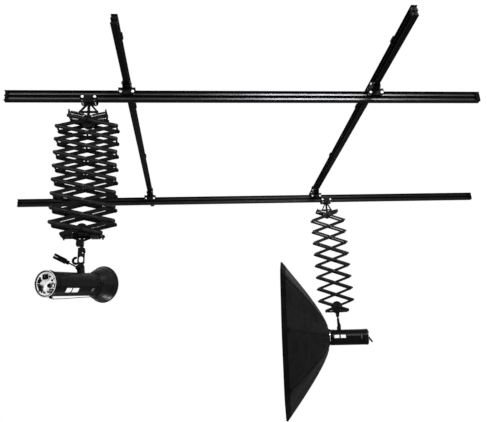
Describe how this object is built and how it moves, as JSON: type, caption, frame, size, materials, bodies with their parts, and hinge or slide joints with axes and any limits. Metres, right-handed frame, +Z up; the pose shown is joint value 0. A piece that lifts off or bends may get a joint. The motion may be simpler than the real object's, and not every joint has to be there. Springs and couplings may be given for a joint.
{
  "type": "ceiling rail system",
  "caption": "Ceiling-mounted studio rail grid: rolling cross rails on fixed rails, with trolley-hung spring scissor pantographs that carry a flash head and a softbox light.",
  "frame": {"origin": "on the ceiling plane, at the centre of the rectangle of the outer anchor holes", "axes": "+X along the cross rails to the viewer's right, +Y away from the viewer along the ceiling rails, +Z up into the ceiling"},
  "size_m": [4.335, 3.3328, 2.1171],
  "materials": {
    "rail_black": "black anodised, satin",
    "steel_black": "black powder coat, satin",
    "bracket_black": "black powder coat",
    "wheel_nylon": "pale nylon",
    "arm_black": "black lacquered steel",
    "casing_black": "black, slightly glossy",
    "lever_black": "black moulded grip",
    "reflector_black": "black outside, silver inside",
    "softbox_cloth": "black coated nylon"
  },
  "bodies": {
    "frame": {"ceiling_rails": "rail_black", "ceiling_clamps": "steel_black", "ceiling_rail_stops": "steel_black"},
    "front_bridge": {"front_carriages": "bracket_black", "front_carriage_wheels": "wheel_nylon"},
    "front_rail": {"front_cross_rail": "rail_black", "front_rail_stops": "steel_black"},
    "front_trolley": {"front_trolley": "bracket_black", "front_trolley_wheels": "wheel_nylon"},
    "front_arm_a1_body": {"front_arm_a1": "arm_black"},
    "front_arm_a2_body": {"front_arm_a2": "arm_black"},
    "front_arm_a3_body": {"front_arm_a3": "arm_black"},
    "front_arm_a4_body": {"front_arm_a4": "arm_black"},
    "front_arm_a5_body": {"front_arm_a5": "arm_black"},
    "front_arm_a6_body": {"front_arm_a6": "arm_black"},
    "front_arm_a7_body": {"front_arm_a7": "arm_black"},
    "front_arm_a8_body": {"front_arm_a8": "arm_black"},
    "front_arm_a9_body": {"front_arm_a9": "arm_black"},
    "front_arm_b1_body": {"front_arm_b1": "arm_black"},
    "front_arm_b2_body": {"front_arm_b2": "arm_black"},
    "front_arm_b3_body": {"front_arm_b3": "arm_black"},
    "front_arm_b4_body": {"front_arm_b4": "arm_black"},
    "front_arm_b5_body": {"front_arm_b5": "arm_black"},
    "front_arm_b6_body": {"front_arm_b6": "arm_black"},
    "front_arm_b7_body": {"front_arm_b7": "arm_black"},
    "front_arm_b8_body": {"front_arm_b8": "arm_black"},
    "front_arm_b9_body": {"front_arm_b9": "arm_black"},
    "front_socket": {"front_socket": "bracket_black"},
    "front_bracket": {"front_lamp_bracket": "steel_black"},
    "front_lamp": {"front_flash_head": "casing_black", "front_reflector": "reflector_black"},
    "front_lever": {"front_tilt_lever": "lever_black"},
    "rear_bridge": {"rear_carriages": "bracket_black", "rear_carriage_wheels": "wheel_nylon"},
    "rear_rail": {"rear_cross_rail": "rail_black", "rear_rail_stops": "steel_black"},
    "rear_trolley": {"rear_trolley": "bracket_black", "rear_trolley_wheels": "wheel_nylon"},
    "rear_arm_a1_body": {"rear_arm_a1": "arm_black"},
    "rear_arm_a2_body": {"rear_arm_a2": "arm_black"},
    "rear_arm_a3_body": {"rear_arm_a3": "arm_black"},
    "rear_arm_a4_body": {"rear_arm_a4": "arm_black"},
    "rear_arm_a5_body": {"rear_arm_a5": "arm_black"},
    "rear_arm_a6_body": {"rear_arm_a6": "arm_black"},
    "rear_arm_a7_body": {"rear_arm_a7": "arm_black"},
    "rear_arm_a8_body": {"rear_arm_a8": "arm_black"},
    "rear_arm_a9_body": {"rear_arm_a9": "arm_black"},
    "rear_arm_b1_body": {"rear_arm_b1": "arm_black"},
    "rear_arm_b2_body": {"rear_arm_b2": "arm_black"},
    "rear_arm_b3_body": {"rear_arm_b3": "arm_black"},
    "rear_arm_b4_body": {"rear_arm_b4": "arm_black"},
    "rear_arm_b5_body": {"rear_arm_b5": "arm_black"},
    "rear_arm_b6_body": {"rear_arm_b6": "arm_black"},
    "rear_arm_b7_body": {"rear_arm_b7": "arm_black"},
    "rear_arm_b8_body": {"rear_arm_b8": "arm_black"},
    "rear_arm_b9_body": {"rear_arm_b9": "arm_black"},
    "rear_socket": {"rear_socket": "bracket_black"},
    "rear_bracket": {"rear_lamp_bracket": "steel_black"},
    "rear_lamp": {"rear_flash_head": "casing_black", "rear_softbox": "softbox_cloth"}
  },
  "joints": [
    {"name": "front_bridge_slide", "type": "slide", "parent": "frame", "child": "front_bridge", "axis": [0, 1, 0], "range_m": [-0.5, 0.6]},
    {"name": "front_rail_slide", "type": "slide", "parent": "front_bridge", "child": "front_rail", "axis": [1, 0, 0], "range_m": [-0.6, 0.6]},
    {"name": "front_trolley_slide", "type": "slide", "parent": "front_rail", "child": "front_trolley", "axis": [1, 0, 0], "range_m": [-0.4, 1]},
    {"name": "front_scissor", "type": "hinge", "parent": "front_trolley", "child": "front_arm_a1_body", "pos_m": [-1.016, -0.723, -0.3107], "axis": [0, 1, 0], "range_deg": [-7, 21.5]},
    {"name": "front_top_b", "type": "hinge", "parent": "front_trolley", "child": "front_arm_b1_body", "pos_m": [-1.016, -0.723, -0.3107], "axis": [0, 1, 0], "range_deg": [-22.5, 8]},
    {"name": "front_right_tip_1", "type": "hinge", "parent": "front_arm_a1_body", "child": "front_arm_b2_body", "pos_m": [-0.84268, -0.723, -0.3534], "axis": [0, 1, 0], "range_deg": [-45, 16]},
    {"name": "front_left_tip_1", "type": "hinge", "parent": "front_arm_b1_body", "child": "front_arm_a2_body", "pos_m": [-1.18932, -0.723, -0.3534], "axis": [0, 1, 0], "range_deg": [-16, 45]},
    {"name": "front_right_tip_2", "type": "hinge", "parent": "front_arm_a2_body", "child": "front_arm_b3_body", "pos_m": [-0.84268, -0.723, -0.4388], "axis": [0, 1, 0], "range_deg": [-45, 16]},
    {"name": "front_left_tip_2", "type": "hinge", "parent": "front_arm_b2_body", "child": "front_arm_a3_body", "pos_m": [-1.18932, -0.723, -0.4388], "axis": [0, 1, 0], "range_deg": [-16, 45]},
    {"name": "front_right_tip_3", "type": "hinge", "parent": "front_arm_a3_body", "child": "front_arm_b4_body", "pos_m": [-0.84268, -0.723, -0.5242], "axis": [0, 1, 0], "range_deg": [-45, 16]},
    {"name": "front_left_tip_3", "type": "hinge", "parent": "front_arm_b3_body", "child": "front_arm_a4_body", "pos_m": [-1.18932, -0.723, -0.5242], "axis": [0, 1, 0], "range_deg": [-16, 45]},
    {"name": "front_right_tip_4", "type": "hinge", "parent": "front_arm_a4_body", "child": "front_arm_b5_body", "pos_m": [-0.84268, -0.723, -0.60959], "axis": [0, 1, 0], "range_deg": [-45, 16]},
    {"name": "front_left_tip_4", "type": "hinge", "parent": "front_arm_b4_body", "child": "front_arm_a5_body", "pos_m": [-1.18932, -0.723, -0.60959], "axis": [0, 1, 0], "range_deg": [-16, 45]},
    {"name": "front_right_tip_5", "type": "hinge", "parent": "front_arm_a5_body", "child": "front_arm_b6_body", "pos_m": [-0.84268, -0.723, -0.69499], "axis": [0, 1, 0], "range_deg": [-45, 16]},
    {"name": "front_left_tip_5", "type": "hinge", "parent": "front_arm_b5_body", "child": "front_arm_a6_body", "pos_m": [-1.18932, -0.723, -0.69499], "axis": [0, 1, 0], "range_deg": [-16, 45]},
    {"name": "front_right_tip_6", "type": "hinge", "parent": "front_arm_a6_body", "child": "front_arm_b7_body", "pos_m": [-0.84268, -0.723, -0.78039], "axis": [0, 1, 0], "range_deg": [-45, 16]},
    {"name": "front_left_tip_6", "type": "hinge", "parent": "front_arm_b6_body", "child": "front_arm_a7_body", "pos_m": [-1.18932, -0.723, -0.78039], "axis": [0, 1, 0], "range_deg": [-16, 45]},
    {"name": "front_right_tip_7", "type": "hinge", "parent": "front_arm_a7_body", "child": "front_arm_b8_body", "pos_m": [-0.84268, -0.723, -0.86579], "axis": [0, 1, 0], "range_deg": [-45, 16]},
    {"name": "front_left_tip_7", "type": "hinge", "parent": "front_arm_b7_body", "child": "front_arm_a8_body", "pos_m": [-1.18932, -0.723, -0.86579], "axis": [0, 1, 0], "range_deg": [-16, 45]},
    {"name": "front_right_tip_8", "type": "hinge", "parent": "front_arm_a8_body", "child": "front_arm_b9_body", "pos_m": [-0.84268, -0.723, -0.95119], "axis": [0, 1, 0], "range_deg": [-45, 16]},
    {"name": "front_left_tip_8", "type": "hinge", "parent": "front_arm_b8_body", "child": "front_arm_a9_body", "pos_m": [-1.18932, -0.723, -0.95119], "axis": [0, 1, 0], "range_deg": [-16, 45]},
    {"name": "front_socket_pivot", "type": "hinge", "parent": "front_arm_a9_body", "child": "front_socket", "pos_m": [-1.016, -0.723, -0.99389], "axis": [0, 1, 0], "range_deg": [-22.5, 8]},
    {"name": "front_lamp_swivel", "type": "hinge", "parent": "front_socket", "child": "front_bracket", "pos_m": [-1.016, -0.723, -1.11839], "axis": [0, 0, 1], "range_deg": [-170, 170]},
    {"name": "front_lamp_tilt", "type": "hinge", "parent": "front_bracket", "child": "front_lamp", "pos_m": [-1.016, -0.723, -1.20389], "axis": [-0.891, 0.454, 0], "range_deg": [-45, 50]},
    {"name": "front_lever_turn", "type": "hinge", "parent": "front_bracket", "child": "front_lever", "pos_m": [-1.016, -0.723, -1.20389], "axis": [-0.891, 0.454, 0], "range_deg": [-25, 0]},
    {"name": "rear_bridge_slide", "type": "slide", "parent": "frame", "child": "rear_bridge", "axis": [0, 1, 0], "range_m": [-0.9, 0.1]},
    {"name": "rear_rail_slide", "type": "slide", "parent": "rear_bridge", "child": "rear_rail", "axis": [1, 0, 0], "range_m": [-0.6, 0.6]},
    {"name": "rear_trolley_slide", "type": "slide", "parent": "rear_rail", "child": "rear_trolley", "axis": [1, 0, 0], "range_m": [-1, 1.2]},
    {"name": "rear_scissor", "type": "hinge", "parent": "rear_trolley", "child": "rear_arm_a1_body", "pos_m": [0.884, 1.128, -0.3037], "axis": [0, 1, 0], "range_deg": [-10, 14.5]},
    {"name": "rear_top_b", "type": "hinge", "parent": "rear_trolley", "child": "rear_arm_b1_body", "pos_m": [0.884, 1.128, -0.3037], "axis": [0, 1, 0], "range_deg": [-15.5, 11]},
    {"name": "rear_right_tip_1", "type": "hinge", "parent": "rear_arm_a1_body", "child": "rear_arm_b2_body", "pos_m": [1.0369, 1.128, -0.35799], "axis": [0, 1, 0], "range_deg": [-31, 22]},
    {"name": "rear_left_tip_1", "type": "hinge", "parent": "rear_arm_b1_body", "child": "rear_arm_a2_body", "pos_m": [0.7311, 1.128, -0.35799], "axis": [0, 1, 0], "range_deg": [-22, 31]},
    {"name": "rear_right_tip_2", "type": "hinge", "parent": "rear_arm_a2_body", "child": "rear_arm_b3_body", "pos_m": [1.0369, 1.128, -0.46658], "axis": [0, 1, 0], "range_deg": [-31, 22]},
    {"name": "rear_left_tip_2", "type": "hinge", "parent": "rear_arm_b2_body", "child": "rear_arm_a3_body", "pos_m": [0.7311, 1.128, -0.46658], "axis": [0, 1, 0], "range_deg": [-22, 31]},
    {"name": "rear_right_tip_3", "type": "hinge", "parent": "rear_arm_a3_body", "child": "rear_arm_b4_body", "pos_m": [1.0369, 1.128, -0.57517], "axis": [0, 1, 0], "range_deg": [-31, 22]},
    {"name": "rear_left_tip_3", "type": "hinge", "parent": "rear_arm_b3_body", "child": "rear_arm_a4_body", "pos_m": [0.7311, 1.128, -0.57517], "axis": [0, 1, 0], "range_deg": [-22, 31]},
    {"name": "rear_right_tip_4", "type": "hinge", "parent": "rear_arm_a4_body", "child": "rear_arm_b5_body", "pos_m": [1.0369, 1.128, -0.68376], "axis": [0, 1, 0], "range_deg": [-31, 22]},
    {"name": "rear_left_tip_4", "type": "hinge", "parent": "rear_arm_b4_body", "child": "rear_arm_a5_body", "pos_m": [0.7311, 1.128, -0.68376], "axis": [0, 1, 0], "range_deg": [-22, 31]},
    {"name": "rear_right_tip_5", "type": "hinge", "parent": "rear_arm_a5_body", "child": "rear_arm_b6_body", "pos_m": [1.0369, 1.128, -0.79234], "axis": [0, 1, 0], "range_deg": [-31, 22]},
    {"name": "rear_left_tip_5", "type": "hinge", "parent": "rear_arm_b5_body", "child": "rear_arm_a6_body", "pos_m": [0.7311, 1.128, -0.79234], "axis": [0, 1, 0], "range_deg": [-22, 31]},
    {"name": "rear_right_tip_6", "type": "hinge", "parent": "rear_arm_a6_body", "child": "rear_arm_b7_body", "pos_m": [1.0369, 1.128, -0.90093], "axis": [0, 1, 0], "range_deg": [-31, 22]},
    {"name": "rear_left_tip_6", "type": "hinge", "parent": "rear_arm_b6_body", "child": "rear_arm_a7_body", "pos_m": [0.7311, 1.128, -0.90093], "axis": [0, 1, 0], "range_deg": [-22, 31]},
    {"name": "rear_right_tip_7", "type": "hinge", "parent": "rear_arm_a7_body", "child": "rear_arm_b8_body", "pos_m": [1.0369, 1.128, -1.00952], "axis": [0, 1, 0], "range_deg": [-31, 22]},
    {"name": "rear_left_tip_7", "type": "hinge", "parent": "rear_arm_b7_body", "child": "rear_arm_a8_body", "pos_m": [0.7311, 1.128, -1.00952], "axis": [0, 1, 0], "range_deg": [-22, 31]},
    {"name": "rear_right_tip_8", "type": "hinge", "parent": "rear_arm_a8_body", "child": "rear_arm_b9_body", "pos_m": [1.0369, 1.128, -1.1181], "axis": [0, 1, 0], "range_deg": [-31, 22]},
    {"name": "rear_left_tip_8", "type": "hinge", "parent": "rear_arm_b8_body", "child": "rear_arm_a9_body", "pos_m": [0.7311, 1.128, -1.1181], "axis": [0, 1, 0], "range_deg": [-22, 31]},
    {"name": "rear_socket_pivot", "type": "hinge", "parent": "rear_arm_a9_body", "child": "rear_socket", "pos_m": [0.884, 1.128, -1.1724], "axis": [0, 1, 0], "range_deg": [-15.5, 11]},
    {"name": "rear_lamp_swivel", "type": "hinge", "parent": "rear_socket", "child": "rear_bracket", "pos_m": [0.884, 1.128, -1.3069], "axis": [0, 0, 1], "range_deg": [-170, 170]},
    {"name": "rear_lamp_tilt", "type": "hinge", "parent": "rear_bracket", "child": "rear_lamp", "pos_m": [0.884, 1.128, -1.3594], "axis": [-0.1736, -0.9848, 0], "range_deg": [-2.5, 40]}
  ],
  "couplings": [
    {"joint": "front_top_b", "follows": "front_scissor", "ratio": -1},
    {"joint": "front_right_tip_1", "follows": "front_scissor", "ratio": -2},
    {"joint": "front_left_tip_1", "follows": "front_scissor", "ratio": 2},
    {"joint": "front_right_tip_2", "follows": "front_scissor", "ratio": -2},
    {"joint": "front_left_tip_2", "follows": "front_scissor", "ratio": 2},
    {"joint": "front_right_tip_3", "follows": "front_scissor", "ratio": -2},
    {"joint": "front_left_tip_3", "follows": "front_scissor", "ratio": 2},
    {"joint": "front_right_tip_4", "follows": "front_scissor", "ratio": -2},
    {"joint": "front_left_tip_4", "follows": "front_scissor", "ratio": 2},
    {"joint": "front_right_tip_5", "follows": "front_scissor", "ratio": -2},
    {"joint": "front_left_tip_5", "follows": "front_scissor", "ratio": 2},
    {"joint": "front_right_tip_6", "follows": "front_scissor", "ratio": -2},
    {"joint": "front_left_tip_6", "follows": "front_scissor", "ratio": 2},
    {"joint": "front_right_tip_7", "follows": "front_scissor", "ratio": -2},
    {"joint": "front_left_tip_7", "follows": "front_scissor", "ratio": 2},
    {"joint": "front_right_tip_8", "follows": "front_scissor", "ratio": -2},
    {"joint": "front_left_tip_8", "follows": "front_scissor", "ratio": 2},
    {"joint": "front_socket_pivot", "follows": "front_scissor", "ratio": -1},
    {"joint": "rear_top_b", "follows": "rear_scissor", "ratio": -1},
    {"joint": "rear_right_tip_1", "follows": "rear_scissor", "ratio": -2},
    {"joint": "rear_left_tip_1", "follows": "rear_scissor", "ratio": 2},
    {"joint": "rear_right_tip_2", "follows": "rear_scissor", "ratio": -2},
    {"joint": "rear_left_tip_2", "follows": "rear_scissor", "ratio": 2},
    {"joint": "rear_right_tip_3", "follows": "rear_scissor", "ratio": -2},
    {"joint": "rear_left_tip_3", "follows": "rear_scissor", "ratio": 2},
    {"joint": "rear_right_tip_4", "follows": "rear_scissor", "ratio": -2},
    {"joint": "rear_left_tip_4", "follows": "rear_scissor", "ratio": 2},
    {"joint": "rear_right_tip_5", "follows": "rear_scissor", "ratio": -2},
    {"joint": "rear_left_tip_5", "follows": "rear_scissor", "ratio": 2},
    {"joint": "rear_right_tip_6", "follows": "rear_scissor", "ratio": -2},
    {"joint": "rear_left_tip_6", "follows": "rear_scissor", "ratio": 2},
    {"joint": "rear_right_tip_7", "follows": "rear_scissor", "ratio": -2},
    {"joint": "rear_left_tip_7", "follows": "rear_scissor", "ratio": 2},
    {"joint": "rear_right_tip_8", "follows": "rear_scissor", "ratio": -2},
    {"joint": "rear_left_tip_8", "follows": "rear_scissor", "ratio": 2},
    {"joint": "rear_socket_pivot", "follows": "rear_scissor", "ratio": -1}
  ]
}
